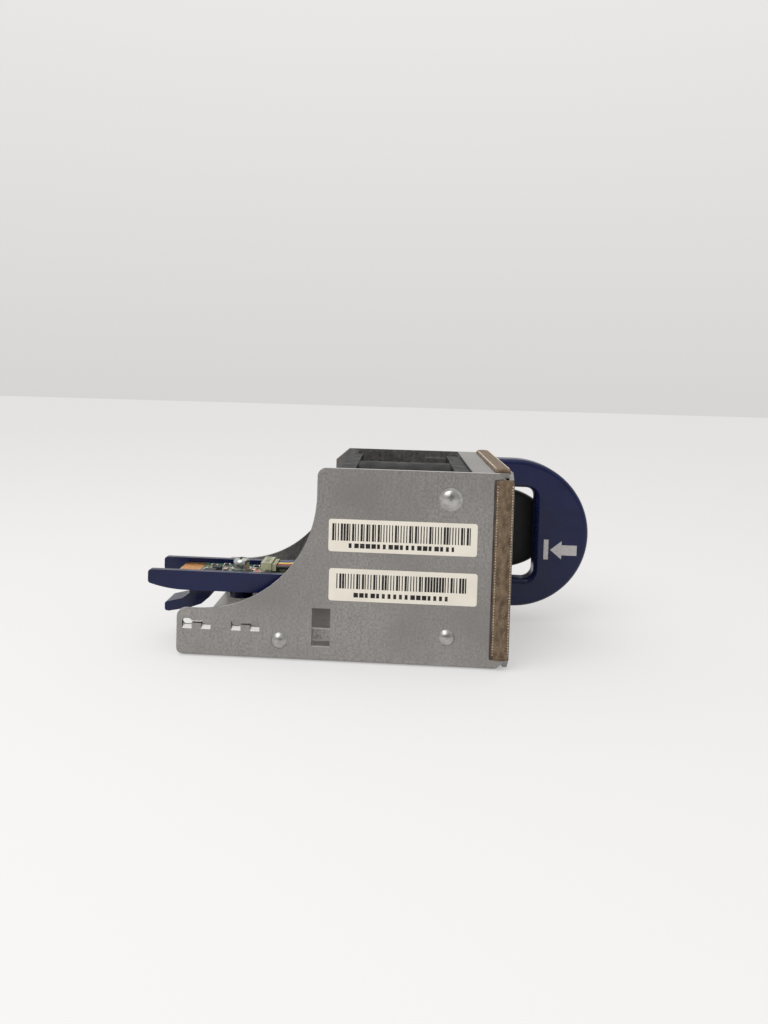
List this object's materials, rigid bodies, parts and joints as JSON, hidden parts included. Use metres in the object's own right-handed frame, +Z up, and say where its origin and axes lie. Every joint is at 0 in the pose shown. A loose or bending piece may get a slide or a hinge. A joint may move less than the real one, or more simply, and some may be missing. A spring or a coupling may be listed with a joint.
{
  "type": "switch fan tray",
  "caption": "Hot-swap fan tray for a rack switch: folded sheet tray, axial fan, pull handle, release lever, pronged board carrier and edge board.",
  "frame": {"origin": "middle of the whole part's footprint, on the surface that the tray's floor rests on", "axes": "+Z up, +X forward to the handle and the air intake, +Y across from the plain near wall to the far wall with the latch catch"},
  "size_m": [0.102, 0.0522, 0.0424],
  "materials": {
    "galvanised_sheet": "zinc-plated sheet, satin with a fine grain",
    "gasket_fabric": "metallised woven cloth over foam",
    "rivet_steel": "bright dome heads",
    "navy_moulding": "moulded nylon, semi-gloss",
    "black_moulding": "moulded nylon, satin",
    "plated_screw": "nickel-plated",
    "spring_steel": "oiled spring wire",
    "board_laminate": "solder mask over glass laminate",
    "gold_contact": "gold-plated fingers",
    "white_nylon": "natural nylon",
    "chip_black": "moulded epoxy",
    "capacitor_tan": "fired ceramic with plated ends",
    "resistor_black": "thick film on ceramic",
    "fan_plastic": "glass-filled polyester, satin black",
    "bronze_bush": "sintered bronze",
    "shaft_steel": "ground steel",
    "laminated_iron": "stacked laminations",
    "copper_winding": "enamelled copper",
    "magnet_ferrite": "bonded ferrite",
    "wire_black": "PVC sheath",
    "wire_red": "PVC sheath",
    "wire_yellow": "PVC sheath",
    "wire_blue": "PVC sheath"
  },
  "bodies": {
    "tray_body": {"tray": "galvanised_sheet", "front_plate": "galvanised_sheet", "lever_bracket": "galvanised_sheet", "gasket_near": "gasket_fabric", "gasket_far": "gasket_fabric", "gasket_top": "gasket_fabric", "gasket_bottom": "gasket_fabric", "front_rivets": "rivet_steel", "carrier_rivet": "rivet_steel", "floor_rivet": "rivet_steel", "bracket_rivets": "rivet_steel", "handle": "navy_moulding", "board_carrier": "navy_moulding", "handle_screws": "plated_screw", "lever_pin": "shaft_steel", "circuit_board": "board_laminate", "edge_contacts": "gold_contact", "board_washer": "plated_screw", "board_screw": "plated_screw", "board_header": "white_nylon", "header_pins": "gold_contact", "wire_plug": "white_nylon", "board_chips": "chip_black", "board_capacitors": "capacitor_tan", "board_resistors": "resistor_black", "fan_frame": "fan_plastic", "motor_board": "board_laminate", "rear_bearing": "bronze_bush", "front_bearing": "bronze_bush", "stator_core": "laminated_iron", "stator_coils": "copper_winding", "wire_black": "wire_black", "wire_red": "wire_red", "wire_yellow": "wire_yellow", "wire_blue": "wire_blue"},
    "rotor": {"fan_rotor": "fan_plastic", "magnet_ring": "magnet_ferrite", "fan_shaft": "shaft_steel", "shaft_clip": "spring_steel"},
    "lever": {"release_lever": "black_moulding", "lever_spring": "spring_steel"}
  },
  "joints": [
    {"name": "fan_spin", "type": "hinge", "parent": "tray_body", "child": "rotor", "pos_m": [0.0067, -0.0031, 0.021], "axis": [1, 0, 0], "continuous": true},
    {"name": "lever_squeeze", "type": "hinge", "parent": "tray_body", "child": "lever", "pos_m": [-0.0068, 0.0202, 0.0222], "axis": [0, 0, -1], "range_deg": [0, 4], "stiffness_Nm_per_rad": 0.05, "springref_deg": -20.05}
  ]
}
